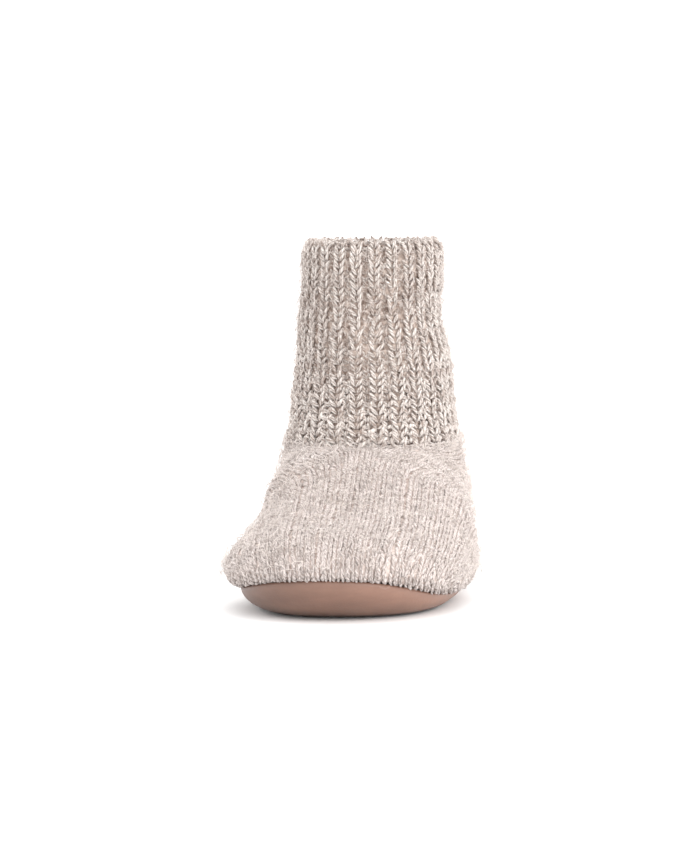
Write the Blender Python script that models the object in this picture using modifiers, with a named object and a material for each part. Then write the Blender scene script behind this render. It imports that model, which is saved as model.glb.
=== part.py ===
"""A knitted slipper sock for the left foot, built as its maker puts it together.

The toe points along -Y, +X is the wearer's left (the outer side of the foot) and +Z is up.
The origin is on the floor under the middle of the heel. All lengths are in metres.

outsole  one padded leather sole, turned up round the toe and a little round the heel
insole   a thin pad that lies inside on the sole
upper    the plain-knitted foot: one hollow wall, open at the ankle and underneath
shaft    the ribbed leg: one knitted tube linked to the ankle edge of the foot
"""

import math
from collections import namedtuple

import bmesh
import bpy
from mathutils import Vector

# Sole
SOLE_LENGTH = 0.250
BALL_WIDTH = 0.090
HEEL_CENTRE = 0.14  # share of the length from the heel's back to the origin
SOLE_THICKNESS = 0.0050
TOE_RISE = 0.0172  # height of the turned-up leather edge at the toe tip
TOE_CURL = 0.030  # how far in from the edge the leather starts to turn up, at the toe
SIDE_CURL = 0.0085
TOP_CURL = 0.019  # the same on the sole's upper face
ARCH_RISE = 0.0012
LEDGE_WIDTH = 0.0040  # rim of the sole that the foot's lower edge is sewn to

# Insole
INSOLE_THICKNESS = 0.0030
INSOLE_CLEARANCE = 0.0008
INSOLE_GAP = 0.0005

# Foot
KNIT_WALL = 0.0028
HEM_INSET = 0.0030  # the foot's lower edge starts this far in from the sole's edge
THROAT_HEIGHT = 0.0613
THROAT_STATION = 0.50
ANKLE_BACK_STATION = 0.060
ANKLE_WIDTH = 0.0770
BELLY = 0.0090  # how far the knit swells out past its lower edge
BELLY_HEIGHT = 0.0075

# Shaft
SHAFT_HEIGHT = 0.0913
SHAFT_WALL = 0.0030
RIB_COUNT = 31
RIB_DEPTH = 0.0016
POINTS_PER_RIB = 3
RIM_ROUND = 0.0022

# Fit
GAP = 0.0003

# Mesh density
TOE_ROWS = 9
VAMP_ROWS = 7
ANKLE_ROWS = 16
BELLY_COLUMNS = 4
WALL_COLUMNS = 10
SHAFT_LEVELS = 9
SOLE_RINGS = 5
TOP_RINGS = 4

HEEL_ROUND = 0.14  # shares of the length over which the outline rounds off
TOE_ROUND = 0.27
HEEL_SQUARENESS = 2.2
TOE_SQUARENESS = 2.25
LEG_SQUARENESS = 2.4

# Sole outline: stations are shares of SOLE_LENGTH, widths are shares of BALL_WIDTH and the edge
# heights on the inner and the outer side are shares of TOE_RISE.
OutlineRow = namedtuple("OutlineRow", "station half_width centre inner_edge outer_edge")
OUTLINE = (
    OutlineRow(0.00, 0.368, 0.000, 0.47, 0.47),
    OutlineRow(0.14, 0.370, 0.000, 0.37, 0.37),
    OutlineRow(0.40, 0.384, 0.022, 0.35, 0.34),
    OutlineRow(0.60, 0.455, 0.018, 0.39, 0.34),
    OutlineRow(0.73, 0.478, -0.028, 0.48, 0.36),
    OutlineRow(0.86, 0.478, -0.056, 0.64, 0.50),
    OutlineRow(1.00, 0.475, -0.088, 1.00, 1.00),
)

# Foot rows from the toe tip to the heel's back. hem: where the row starts on the sole's outline.
# top: where it ends on the ridge of the vamp. height: share of THROAT_HEIGHT at that end.
# belly and lift: shares of BELLY and BELLY_HEIGHT. inner_dome and outer_dome: exponents of the
# arch over the foot. upright: 0 where the arch closes, towards 1 where only its flank is left.
FootRow = namedtuple("FootRow", "hem top height belly lift inner_dome outer_dome upright")
FOOT_ROWS = (
    FootRow(1.00, 0.860, 0.595, 0.85, 0.90, 2.00, 2.00, 0.00),
    FootRow(0.90, 0.830, 0.625, 0.95, 0.95, 1.95, 2.10, 0.00),
    FootRow(0.80, 0.765, 0.690, 1.08, 1.00, 1.75, 2.35, 0.00),
    FootRow(0.70, 0.685, 0.800, 1.10, 1.15, 1.80, 2.60, 0.00),
    FootRow(0.60, 0.595, 0.910, 1.06, 1.60, 2.30, 2.65, 0.00),
    FootRow(0.50, 0.500, 1.000, 1.10, 2.10, 3.00, 2.70, 0.00),
    FootRow(0.40, 0.400, 1.000, 1.20, 2.50, 3.00, 2.70, 0.45),
    FootRow(0.27, 0.270, 1.010, 1.25, 2.90, 2.60, 2.45, 0.60),
    FootRow(0.10, 0.100, 1.040, 1.10, 2.80, 2.30, 2.30, 0.66),
    FootRow(0.00, 0.000, 1.050, 0.75, 2.20, 2.20, 2.20, 0.66),
)

# Shaft rows: height is a share of SHAFT_HEIGHT, front and back are stations, half_width and
# centre are shares of ANKLE_WIDTH.
ShaftRow = namedtuple("ShaftRow", "height front back half_width centre")
SHAFT_ROWS = (
    ShaftRow(0.00, THROAT_STATION, ANKLE_BACK_STATION, 0.500, 0.013),
    ShaftRow(0.20, 0.487, 0.070, 0.464, 0.010),
    ShaftRow(0.40, 0.478, 0.080, 0.446, 0.004),
    ShaftRow(0.60, 0.470, 0.090, 0.412, 0.000),
    ShaftRow(0.80, 0.464, 0.097, 0.404, -0.003),
    ShaftRow(1.00, 0.460, 0.103, 0.400, -0.005),
)


def clear_scene():
    for obj in list(bpy.data.objects):
        bpy.data.objects.remove(obj, do_unlink=True)


def table_value(rows, key, column, x):
    """A smooth value between the rows of a table, with no overshoot (monotone cubic)."""
    points = sorted((getattr(row, key), getattr(row, column)) for row in rows)
    if x <= points[0][0]:
        return points[0][1]
    if x >= points[-1][0]:
        return points[-1][1]
    steps = [b[0] - a[0] for a, b in zip(points, points[1:])]
    slopes = [(b[1] - a[1]) / h for a, b, h in zip(points, points[1:], steps)]
    bends = [slopes[0]]
    for left, right in zip(slopes, slopes[1:]):
        bends.append(0.0 if left * right <= 0 else 2 * left * right / (left + right))
    bends.append(slopes[-1])
    i = max(k for k in range(len(steps)) if points[k][0] <= x)
    t = (x - points[i][0]) / steps[i]
    return (
        points[i][1] * (1 + 2 * t) * (1 - t) ** 2
        + steps[i] * bends[i] * t * (1 - t) ** 2
        + points[i + 1][1] * t * t * (3 - 2 * t)
        + steps[i] * bends[i + 1] * t * t * (t - 1)
    )


def station_y(station):
    return (HEEL_CENTRE - station) * SOLE_LENGTH


def end_rounding(station):
    """Share of the half width that is left as the outline closes at the heel and at the toe."""
    if station < HEEL_ROUND:
        u = 1 - station / HEEL_ROUND
        power = HEEL_SQUARENESS
    elif station > 1 - TOE_ROUND:
        u = 1 - (1 - station) / TOE_ROUND
        power = TOE_SQUARENESS
    else:
        return 1.0
    return max(0.0, 1 - min(1.0, u) ** power) ** (1 / power)


def leg_oval(oval, angle):
    """A point on the leg's oval seen from above. Angle 0 is the front and grows towards +X."""
    front, back, half_width, centre = oval
    middle = (station_y(front) + station_y(back)) / 2
    half_depth = (station_y(back) - station_y(front)) / 2
    power = 2 / LEG_SQUARENESS
    c, s = math.cos(angle), math.sin(angle)
    return Vector(
        (
            centre + half_width * math.copysign(abs(s) ** power, s),
            middle - half_depth * math.copysign(abs(c) ** power, c),
            0,
        )
    )


def shaft_oval(share):
    """Front and back stations, half width and centre of the leg at this share of its height."""
    columns = ("front", "back", "half_width", "centre")
    oval = [table_value(SHAFT_ROWS, "height", column, share) for column in columns]
    return oval[0], oval[1], oval[2] * ANKLE_WIDTH, oval[3] * ANKLE_WIDTH


def ankle_angle(share):
    """Angle on the ankle oval of a row whose hem lies at this share from the throat to the heel."""
    return math.acos(max(-1.0, min(1.0, 1 - 2 * share)))


def hem_stations():
    """Stations along one side of the outline, from the toe tip to the heel's back."""
    toe_start = 1 - TOE_ROUND
    stations = [
        toe_start + TOE_ROUND * math.cos(math.pi / 2 * i / TOE_ROWS)
        for i in range(TOE_ROWS)
    ]
    stations += [
        toe_start + (THROAT_STATION - toe_start) * i / VAMP_ROWS
        for i in range(VAMP_ROWS)
    ]
    stations += [
        THROAT_STATION * (1 + math.cos(math.pi * i / ANKLE_ROWS)) / 2
        for i in range(ANKLE_ROWS + 1)
    ]
    return stations


def outline_loop():
    """The sole's outline as (station, side, point, outward normal), round from the toe tip."""
    stations = hem_stations()
    around = [(s, 1) for s in stations] + [(s, -1) for s in reversed(stations[1:-1])]
    points = []
    for station, side in around:
        centre = BALL_WIDTH * table_value(OUTLINE, "station", "centre", station)
        half = BALL_WIDTH * table_value(OUTLINE, "station", "half_width", station)
        x = centre + side * half * end_rounding(station)
        points.append(Vector((x, station_y(station), 0)))
    loop = []
    for i, (station, side) in enumerate(around):
        along = points[(i + 1) % len(points)] - points[i - 1]
        normal = Vector((-along.y, along.x, 0)).normalized() * -1
        loop.append((station, side, points[i], normal))
    return loop


def edge_height(station, side):
    """Height of the sole's sewn edge; the two sides meet at the toe tip and at the heel's back."""
    inner = table_value(OUTLINE, "station", "inner_edge", station)
    outer = table_value(OUTLINE, "station", "outer_edge", station)
    across = (1 + side * end_rounding(station)) / 2
    return TOE_RISE * (inner + (outer - inner) * across)


def curl(station, side):
    """Width over which the leather's lower face turns up to the edge."""
    rise = (edge_height(station, side) - SOLE_THICKNESS) / (TOE_RISE - SOLE_THICKNESS)
    return SIDE_CURL + (TOE_CURL - SIDE_CURL) * rise


def arch(station):
    """Lift of the waist of the sole off the floor, zero under the heel and the ball."""
    start, end = 0.28, 0.58
    share = (station - start) / (end - start)
    if not 0 < share < 1:
        return 0.0
    return ARCH_RISE * math.sin(math.pi * share) ** 2


def sole_bottom(station, side, inset):
    width = curl(station, side)
    share = min(1.0, inset / width)
    edge = edge_height(station, side) - arch(station)
    return arch(station) + edge * (1 - math.sqrt(1 - (1 - share) ** 2))


def sole_top(station, side, inset):
    share = min(1.0, max(0.0, (inset - LEDGE_WIDTH) / (TOP_CURL - LEDGE_WIDTH)))
    fall = (1 - share) ** 2 * (1 + 2 * share)
    return SOLE_THICKNESS + (edge_height(station, side) - SOLE_THICKNESS) * fall


def inset_ring(loop, inset, height):
    """A ring of points this far inside the outline, at height(station, side, inset)."""
    ring = []
    for station, side, point, normal in loop:
        spot = point - normal * inset
        ring.append((spot.x, spot.y, height(station, side, inset)))
    return ring


def mesh_object(name, mesh, material, parent):
    obj = bpy.data.objects.new(name, mesh)
    part_collection().objects.link(obj)
    obj.data.materials.append(material)
    obj.parent = parent
    obj.data.shade_smooth()
    return obj


def part_collection():
    name = "slipper_sock"
    found = bpy.data.collections.get(name)
    if found is None:
        found = bpy.data.collections.new(name)
        bpy.context.scene.collection.children.link(found)
    return found


def material(name, colour, roughness, metallic=0.0):
    made = bpy.data.materials.new(name)
    made.use_nodes = True
    shader = made.node_tree.nodes["Principled BSDF"]
    shader.inputs["Base Color"].default_value = (*colour, 1.0)
    shader.inputs["Roughness"].default_value = roughness
    shader.inputs["Metallic"].default_value = metallic
    return made


def bridge(bm, lower, upper):
    """Quads between two rings of as many vertices."""
    n = len(lower)
    for i in range(n):
        j = (i + 1) % n
        bm.faces.new((lower[i], lower[j], upper[j], upper[i]))


def span(bm, ring):
    """Closes a ring by strips across it: vertex i and vertex n - i lie at one station."""
    n = len(ring)
    half = n // 2
    for i in range(half):
        corners = [ring[i], ring[i + 1], ring[(n - i - 1) % n], ring[(n - i) % n]]
        distinct = list(dict.fromkeys(corners))
        bm.faces.new(distinct)


def finish_mesh(name, bm):
    bmesh.ops.remove_doubles(bm, verts=bm.verts, dist=1e-6)
    bmesh.ops.recalc_face_normals(bm, faces=bm.faces)
    mesh = bpy.data.meshes.new(name)
    bm.to_mesh(mesh)
    bm.free()
    return mesh


def ring_solid(name, rings):
    """A closed mesh through a stack of rings, with strips across the first and the last."""
    bm = bmesh.new()
    made = [[bm.verts.new(p) for p in ring] for ring in rings]
    for lower, upper in zip(made, made[1:]):
        bridge(bm, lower, upper)
    span(bm, made[0])
    span(bm, made[-1])
    return finish_mesh(name, bm)


def curl_rings(loop):
    """Rings of the leather's lower face, from the flat bottom out to the edge."""
    rings = []
    for i in range(SOLE_RINGS, 0, -1):
        turn = math.pi / 2 * i / SOLE_RINGS
        ring = []
        for station, side, point, normal in loop:
            inset = curl(station, side) * (1 - math.cos(turn))
            spot = point - normal * inset
            ring.append((spot.x, spot.y, sole_bottom(station, side, inset)))
        rings.append(ring)
    return rings


def make_outsole(loop, leather, parent):
    rings = curl_rings(loop)
    rings.append(inset_ring(loop, 0.0, lambda s, side, _: edge_height(s, side)))
    rings.append(inset_ring(loop, LEDGE_WIDTH, sole_top))
    rings += [inset_ring(loop, inset, sole_top) for inset in insole_insets()]
    return mesh_object("outsole", ring_solid("outsole", rings), leather, parent)


def insole_insets():
    """Distances of the insole's rings from the sole's outline; the sole's upper face has them too."""
    edge = HEM_INSET + KNIT_WALL + INSOLE_CLEARANCE
    return [edge + (TOP_CURL - edge) * i / TOP_RINGS for i in range(TOP_RINGS + 1)]


def make_insole(loop, lining, parent):
    insets = insole_insets()
    top = INSOLE_GAP + INSOLE_THICKNESS
    lower = [
        inset_ring(loop, inset, lambda *spot: sole_top(*spot) + INSOLE_GAP) for inset in insets
    ]
    upper = [
        inset_ring(loop, inset, lambda *spot: sole_top(*spot) + top)
        for inset in insets
    ]
    rings = lower[::-1] + upper
    return mesh_object("insole", ring_solid("insole", rings), lining, parent)


def foot_top(station, side):
    """Where a foot row ends: on the ridge of the vamp, or on the ankle's oval behind the throat."""
    height = THROAT_HEIGHT * table_value(FOOT_ROWS, "hem", "height", station)
    if station >= THROAT_STATION:
        top = table_value(FOOT_ROWS, "hem", "top", station)
        x = BALL_WIDTH * table_value(OUTLINE, "station", "centre", top)
        x += shaft_oval(0.0)[3] * (1 - top) / (1 - THROAT_STATION)
        return Vector((x, station_y(top), height))
    angle = ankle_angle(1 - station / THROAT_STATION)
    spot = leg_oval(shaft_oval(0.0), side * angle)
    return Vector((spot.x, spot.y, height))


def foot_row(station, side, point, normal):
    """Points of the foot's outer face from its lower edge to its top, at one hem station."""
    top = foot_top(station, side)
    hem = point - normal * HEM_INSET
    hem_height = edge_height(station, side) + GAP
    belly = BELLY * table_value(FOOT_ROWS, "hem", "belly", station)
    inner = table_value(FOOT_ROWS, "hem", "inner_dome", station)
    outer = table_value(FOOT_ROWS, "hem", "outer_dome", station)
    power = 2 / (inner + (outer - inner) * (1 + side * end_rounding(station)) / 2)
    flank = 0.0
    if station < THROAT_STATION:
        half = BALL_WIDTH * table_value(OUTLINE, "station", "half_width", station)
        own = abs(top.x) / (half + belly) if station > THROAT_STATION * 0.7 else 0.0
        flank = max(own, table_value(FOOT_ROWS, "hem", "upright", station))
        flank = min(0.9, flank)
    last_turn = math.acos(flank ** (1 / power))
    foot = Vector((hem.x, hem.y, 0)) + normal * belly
    across = Vector((top.x, top.y, 0)) - foot
    lift = BELLY_HEIGHT * table_value(FOOT_ROWS, "hem", "lift", station)
    rise = top.z - hem_height - lift
    row = []
    for i in range(BELLY_COLUMNS):
        turn = math.pi / 2 * i / BELLY_COLUMNS
        spot = foot - normal * belly * (1 - math.sin(turn))
        spot.z = hem_height + lift * (1 - math.cos(turn))
        row.append(spot)
    for i in range(WALL_COLUMNS + 1):
        turn = last_turn * i / WALL_COLUMNS
        out = (1 - max(0.0, math.cos(turn)) ** power) / (1 - flank)
        up = (math.sin(turn) / math.sin(last_turn)) ** power
        spot = foot + across * out
        spot.z = hem_height + lift + rise * up
        row.append(spot)
    return row


def make_upper(loop, knit, parent):
    rows = [foot_row(*spot) for spot in loop]
    bm = bmesh.new()
    columns = [[bm.verts.new(row[j]) for row in rows] for j in range(len(rows[0]))]
    for lower, upper in zip(columns, columns[1:]):
        bridge(bm, lower, upper)
    obj = mesh_object("upper", finish_mesh("upper", bm), knit, parent)
    shell = obj.modifiers.new("wall", "SOLIDIFY")
    shell.thickness = KNIT_WALL
    shell.offset = -1
    shell.use_even_offset = True
    shell.thickness_clamp = 0
    return obj


def even_angles(oval, count):
    """Angles that place this many points at equal distances round the leg's oval."""
    fine = 720
    angles = [2 * math.pi * i / fine for i in range(fine + 1)]
    points = [leg_oval(oval, a) for a in angles]
    run = [0.0]
    for a, b in zip(points, points[1:]):
        run.append(run[-1] + (b - a).length)
    found = []
    k = 0
    for i in range(count):
        goal = run[-1] * i / count
        while run[k + 1] < goal:
            k += 1
        share = (goal - run[k]) / (run[k + 1] - run[k])
        found.append(angles[k] + (angles[k + 1] - angles[k]) * share)
    return found


def shaft_ring(share, inward, lift, ribbed):
    """One ring of the leg: inward from the rib crests, lifted from its level on the shaft."""
    oval = shaft_oval(share)
    front_y, back_y = station_y(oval[0]), station_y(oval[1])
    count = RIB_COUNT * POINTS_PER_RIB
    points = [leg_oval(oval, a) for a in even_angles(oval, count)]
    ring = []
    for i, spot in enumerate(points):
        along = points[(i + 1) % count] - points[i - 1]
        outward = Vector((along.y, -along.x, 0)).normalized()
        valley = RIB_DEPTH if ribbed and i % POINTS_PER_RIB == 0 else 0.0
        spot = spot - outward * (inward + valley)
        back_share = min(1.0, max(0.0, (spot.y - front_y) / (back_y - front_y)))
        station = THROAT_STATION * (1 - back_share)
        seam = THROAT_HEIGHT * table_value(FOOT_ROWS, "hem", "height", station)
        level = seam + (THROAT_HEIGHT - seam) * share
        ring.append((spot.x, spot.y, level + GAP + SHAFT_HEIGHT * share + lift))
    return ring


def make_shaft(knit, parent):
    thick = SHAFT_WALL + RIB_DEPTH
    levels = [i / SHAFT_LEVELS for i in range(SHAFT_LEVELS + 1)]
    outer = [shaft_ring(share, 0.0, 0.0, True) for share in levels[:-1]]
    rim = [
        shaft_ring(1.0, 0.0, -RIM_ROUND, True),
        shaft_ring(1.0, RIM_ROUND, 0.0, True),
        shaft_ring(1.0, thick - RIM_ROUND / 2, 0.0, False),
        shaft_ring(1.0, thick, -RIM_ROUND, False),
    ]
    inner = [shaft_ring(share, thick, 0.0, False) for share in reversed(levels[:-1])]
    bm = bmesh.new()
    made = [[bm.verts.new(p) for p in ring] for ring in outer + rim + inner]
    for lower, upper in zip(made, made[1:] + made[:1]):
        bridge(bm, lower, upper)
    return mesh_object("shaft", finish_mesh("shaft", bm), knit, parent)


def main():
    clear_scene()
    slipper = bpy.data.objects.new("slipper_sock", None)
    part_collection().objects.link(slipper)
    leather = material("brown_leather", (0.33, 0.20, 0.15), 0.55)
    lining = material("insole_felt", (0.62, 0.56, 0.50), 0.95)
    plain_knit = material("plain_ragg_knit", (0.66, 0.58, 0.53), 0.95)
    ribbed_knit = material("ribbed_ragg_knit", (0.60, 0.52, 0.47), 0.95)
    loop = outline_loop()
    make_outsole(loop, leather, slipper)
    make_insole(loop, lining, slipper)
    make_upper(loop, plain_knit, slipper)
    make_shaft(ribbed_knit, slipper)


main()
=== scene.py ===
"""Looks of a knitted slipper sock for the left foot: ragg wool sewn to a soft leather sole."""

import math
from collections import namedtuple

import bpy
import numpy as np
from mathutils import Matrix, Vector
from mathutils.bvhtree import BVHTree
from mathutils.kdtree import KDTree


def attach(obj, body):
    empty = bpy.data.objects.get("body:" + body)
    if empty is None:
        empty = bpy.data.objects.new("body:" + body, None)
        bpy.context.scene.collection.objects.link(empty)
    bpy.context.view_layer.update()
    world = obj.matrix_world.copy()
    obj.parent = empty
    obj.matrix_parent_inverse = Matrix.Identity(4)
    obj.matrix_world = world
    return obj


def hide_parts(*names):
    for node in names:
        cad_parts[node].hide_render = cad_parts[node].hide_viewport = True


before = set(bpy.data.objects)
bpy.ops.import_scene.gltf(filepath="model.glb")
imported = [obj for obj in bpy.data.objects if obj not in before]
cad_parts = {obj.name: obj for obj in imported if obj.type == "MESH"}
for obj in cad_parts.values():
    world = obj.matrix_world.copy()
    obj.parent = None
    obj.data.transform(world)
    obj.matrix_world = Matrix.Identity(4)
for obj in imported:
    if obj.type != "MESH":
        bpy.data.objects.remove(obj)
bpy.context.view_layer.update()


# The leather sole. One soft brown hide, cut to the foot's outline and moulded up round the toe,
# a little round the heel and along both sides. Its rim is what the knit is sewn to.

SOLE_LENGTH = 0.250
BALL_WIDTH = 0.090
HEEL_CENTRE = 0.14
SOLE_THICKNESS = 0.0050
TOE_RISE = 0.0172
TOE_CURL = 0.030
SIDE_CURL = 0.0085
TOP_CURL = 0.019
ARCH_RISE = 0.0012
ARCH_STATIONS = (0.28, 0.58)
LEDGE_WIDTH = 0.0040
HEEL_ROUND = 0.14
TOE_ROUND = 0.27
HEEL_SQUARENESS = 2.2
TOE_SQUARENESS = 2.25
THROAT_STATION = 0.50

OutlineRow = namedtuple("OutlineRow", "station half_width centre inner_edge outer_edge")
OUTLINE = (
    OutlineRow(0.00, 0.368, 0.000, 0.47, 0.47),
    OutlineRow(0.14, 0.370, 0.000, 0.37, 0.37),
    OutlineRow(0.40, 0.384, 0.022, 0.35, 0.34),
    OutlineRow(0.60, 0.455, 0.018, 0.39, 0.34),
    OutlineRow(0.73, 0.478, -0.028, 0.48, 0.36),
    OutlineRow(0.86, 0.478, -0.056, 0.64, 0.50),
    OutlineRow(1.00, 0.475, -0.088, 1.00, 1.00),
)
SOLE_TOE_STEPS = 34
SOLE_VAMP_STEPS = 26
SOLE_HEEL_STEPS = 60
SOLE_CURL_RINGS = 16
SOLE_TOP_RINGS = 8
# The hide's two tones. The ramp between them is driven partly by painted light, paler towards the
# lit outer side, and partly by the hide's own uneven tone.
HIDE_DEEP = (101, 76, 65)
HIDE_PALE = (143, 108, 92)
# Painted shadow: the hide is painted nearly black along the floor, where its underside curls away
# into shade.
HIDE_IN_CONTACT_SHADE = (58, 43, 38)
CONTACT_SHADE_HEIGHTS = (0.0001, 0.0020)  # heights between which the hide goes from the painted contact shadow's dark to its own colour


def table_value(rows, key, column, x):
    """A smooth value between the rows of a table, with no overshoot."""
    points = sorted((getattr(row, key), getattr(row, column)) for row in rows)
    if x <= points[0][0]:
        return points[0][1]
    if x >= points[-1][0]:
        return points[-1][1]
    steps = [b[0] - a[0] for a, b in zip(points, points[1:])]
    slopes = [(b[1] - a[1]) / h for a, b, h in zip(points, points[1:], steps)]
    bends = [slopes[0]]
    for left, right in zip(slopes, slopes[1:]):
        bends.append(0.0 if left * right <= 0 else 2 * left * right / (left + right))
    bends.append(slopes[-1])
    i = max(k for k in range(len(steps)) if points[k][0] <= x)
    t = (x - points[i][0]) / steps[i]
    return (
        points[i][1] * (1 + 2 * t) * (1 - t) ** 2
        + steps[i] * bends[i] * t * (1 - t) ** 2
        + points[i + 1][1] * t * t * (3 - 2 * t)
        + steps[i] * bends[i + 1] * t * t * (t - 1)
    )


def station_y(station):
    return (HEEL_CENTRE - station) * SOLE_LENGTH


def across_sole(column, station):
    """The outline's half width, or how far its centre lies to the outer side."""
    return BALL_WIDTH * table_value(OUTLINE, "station", column, station)


def end_rounding(station):
    """Share of the half width that is left where the outline closes at heel and toe."""
    if station < HEEL_ROUND:
        u, power = 1 - station / HEEL_ROUND, HEEL_SQUARENESS
    elif station > 1 - TOE_ROUND:
        u, power = 1 - (1 - station) / TOE_ROUND, TOE_SQUARENESS
    else:
        return 1.0
    return max(0.0, 1 - min(1.0, u) ** power) ** (1 / power)


def sole_loop(toe_steps, vamp_steps, heel_steps):
    """The sole's edge as (station, side, point, outward), round from the toe tip."""
    start = 1 - TOE_ROUND
    stations = [start + TOE_ROUND * math.cos(math.pi / 2 * i / toe_steps) for i in range(toe_steps)]
    stations += [start + (THROAT_STATION - start) * i / vamp_steps for i in range(vamp_steps)]
    stations += [
        THROAT_STATION * (1 + math.cos(math.pi * i / heel_steps)) / 2
        for i in range(heel_steps + 1)
    ]
    around = [(s, 1) for s in stations] + [(s, -1) for s in reversed(stations[1:-1])]
    points = []
    for station, side in around:
        centre = across_sole("centre", station)
        half = across_sole("half_width", station)
        x = centre + side * half * end_rounding(station)
        points.append(np.array((x, station_y(station), 0.0)))
    loop = []
    for i, (station, side) in enumerate(around):
        along = points[(i + 1) % len(points)] - points[i - 1]
        outward = np.array((along[1], -along[0], 0.0))
        loop.append((station, side, points[i], outward / np.linalg.norm(outward)))
    return loop


def edge_height(station, side):
    """Height of the leather's sewn rim."""
    inner = table_value(OUTLINE, "station", "inner_edge", station)
    outer = table_value(OUTLINE, "station", "outer_edge", station)
    across = (1 + side * end_rounding(station)) / 2
    return TOE_RISE * (inner + (outer - inner) * across)


def curl_width(station, side):
    rise = (edge_height(station, side) - SOLE_THICKNESS) / (TOE_RISE - SOLE_THICKNESS)
    return SIDE_CURL + (TOE_CURL - SIDE_CURL) * rise


def arch_lift(station):
    share = (station - ARCH_STATIONS[0]) / (ARCH_STATIONS[1] - ARCH_STATIONS[0])
    return ARCH_RISE * math.sin(math.pi * share) ** 2 if 0 < share < 1 else 0.0


def share_of(value, low, high):
    """How far a value lies on the way from low to high, 0 to 1."""
    return min(1.0, max(0.0, (value - low) / (high - low)))


def under_height(station, side, inset):
    share = min(1.0, inset / curl_width(station, side))
    edge = edge_height(station, side) - arch_lift(station)
    return arch_lift(station) + edge * (1 - math.sqrt(1 - (1 - share) ** 2))


def top_height(station, side, inset):
    share = share_of(inset, LEDGE_WIDTH, TOP_CURL)
    fall = (1 - share) ** 2 * (1 + 2 * share)
    return SOLE_THICKNESS + (edge_height(station, side) - SOLE_THICKNESS) * fall


def strip_faces(n):
    """Faces that close a ring by strips across it; point i and point n - i share a station."""
    faces = []
    for i in range(n // 2):
        corners = [i, i + 1, (n - i - 1) % n, (n - i) % n]
        faces.append(list(dict.fromkeys(corners)))
    return faces


def mesh_piece(name, points, faces, material):
    """A smooth mesh object at the origin from points in the shoe's own frame."""
    mesh = bpy.data.meshes.new(name)
    mesh.from_pydata([tuple(p) for p in points], [], faces)
    mesh.validate()
    mesh.shade_smooth()
    mesh.materials.append(material)
    piece = bpy.data.objects.new(name, mesh)
    bpy.context.scene.collection.objects.link(piece)
    return piece


def ring_faces(rings, n):
    """Quads between each ring of n points and the next."""
    faces = []
    for low in range(0, (rings - 1) * n, n):
        for i in range(n):
            j = (i + 1) % n
            faces.append((low + i, low + j, low + n + j, low + n + i))
    return faces


def sole_skin():
    """Points and faces of the leather: flat underside, turned-up wall, rim and hollow top."""
    loop = sole_loop(SOLE_TOE_STEPS, SOLE_VAMP_STEPS, SOLE_HEEL_STEPS)
    rings = []
    for k in range(SOLE_CURL_RINGS, -1, -1):
        turn = math.pi / 2 * k / SOLE_CURL_RINGS
        ring = []
        for station, side, point, outward in loop:
            inset = curl_width(station, side) * (1 - math.cos(turn))
            spot = point - outward * inset
            ring.append((spot[0], spot[1], under_height(station, side, inset)))
        rings.append(ring)
    for k in range(SOLE_TOP_RINGS + 1):
        inset = LEDGE_WIDTH + (TOP_CURL - LEDGE_WIDTH) * k / SOLE_TOP_RINGS
        ring = []
        for station, side, point, outward in loop:
            spot = point - outward * inset
            ring.append((spot[0], spot[1], top_height(station, side, inset)))
        rings.append(ring)
    n = len(loop)
    faces = ring_faces(len(rings), n)
    faces += [list(reversed(face)) for face in strip_faces(n)]
    last = (len(rings) - 1) * n
    faces += [[last + i for i in face] for face in strip_faces(n)]
    return [p for ring in rings for p in ring], faces


def wire(tree, node, inputs):
    """Links a node's inputs to other nodes' outputs, or sets them to plain values."""
    for label, value in dict(inputs).items():
        if isinstance(value, bpy.types.NodeSocket):
            tree.links.new(value, node.inputs[label])
        else:
            node.inputs[label].default_value = value


def add_node(tree, kind, inputs=(), **settings):
    """A new node with its settings made and its inputs wired, by name or by number."""
    node = tree.nodes.new(kind)
    for label, value in settings.items():
        setattr(node, label, value)
    wire(tree, node, inputs)
    return node


def maths(tree, operation, *values):
    """The result of one sum on plain values or other nodes' outputs."""
    return add_node(tree, "ShaderNodeMath", enumerate(values), operation=operation).outputs[0]


def noise(tree, place, scale, detail, rough=0.5):
    inputs = {"Vector": place, "Scale": scale, "Detail": detail, "Roughness": rough}
    return add_node(tree, "ShaderNodeTexNoise", inputs).outputs["Fac"]


def ranged(tree, value, low, high):
    """How far a value lies on the way from low to high, 0 to 1."""
    inputs = {"Value": value, "From Min": low, "From Max": high}
    return add_node(tree, "ShaderNodeMapRange", inputs).outputs[0]


def blend(tree, share, first, second):
    inputs = {"Factor": share, "A": first, "B": second}
    return add_node(tree, "ShaderNodeMix", inputs, data_type="RGBA").outputs["Result"]


def bump(tree, height, strength, distance, invert=False):
    inputs = {"Height": height, "Strength": strength, "Distance": distance}
    return add_node(tree, "ShaderNodeBump", inputs, invert=invert).outputs["Normal"]


def colour(sheet):
    """A linear colour from one read off a paint sheet (0 to 255, gamma encoded)."""
    return tuple(((v / 255 + 0.055) / 1.055) ** 2.4 if v > 10 else v / 3294 for v in sheet) + (1.0,)


def two_tones(tree, share, *stops):
    """A ramp between two colours, each given with its place on the ramp."""
    ramp = add_node(tree, "ShaderNodeValToRGB", {"Fac": share})
    for stop, (place, sheet) in zip(ramp.color_ramp.elements, stops):
        stop.position = place
        stop.color = colour(sheet)
    return ramp.outputs["Color"]


def new_material(name):
    made = bpy.data.materials.new(name)
    made.use_nodes = True
    return made, made.node_tree, made.node_tree.nodes["Principled BSDF"]


def object_place(tree):
    return add_node(tree, "ShaderNodeTexCoord").outputs["Object"]


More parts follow.
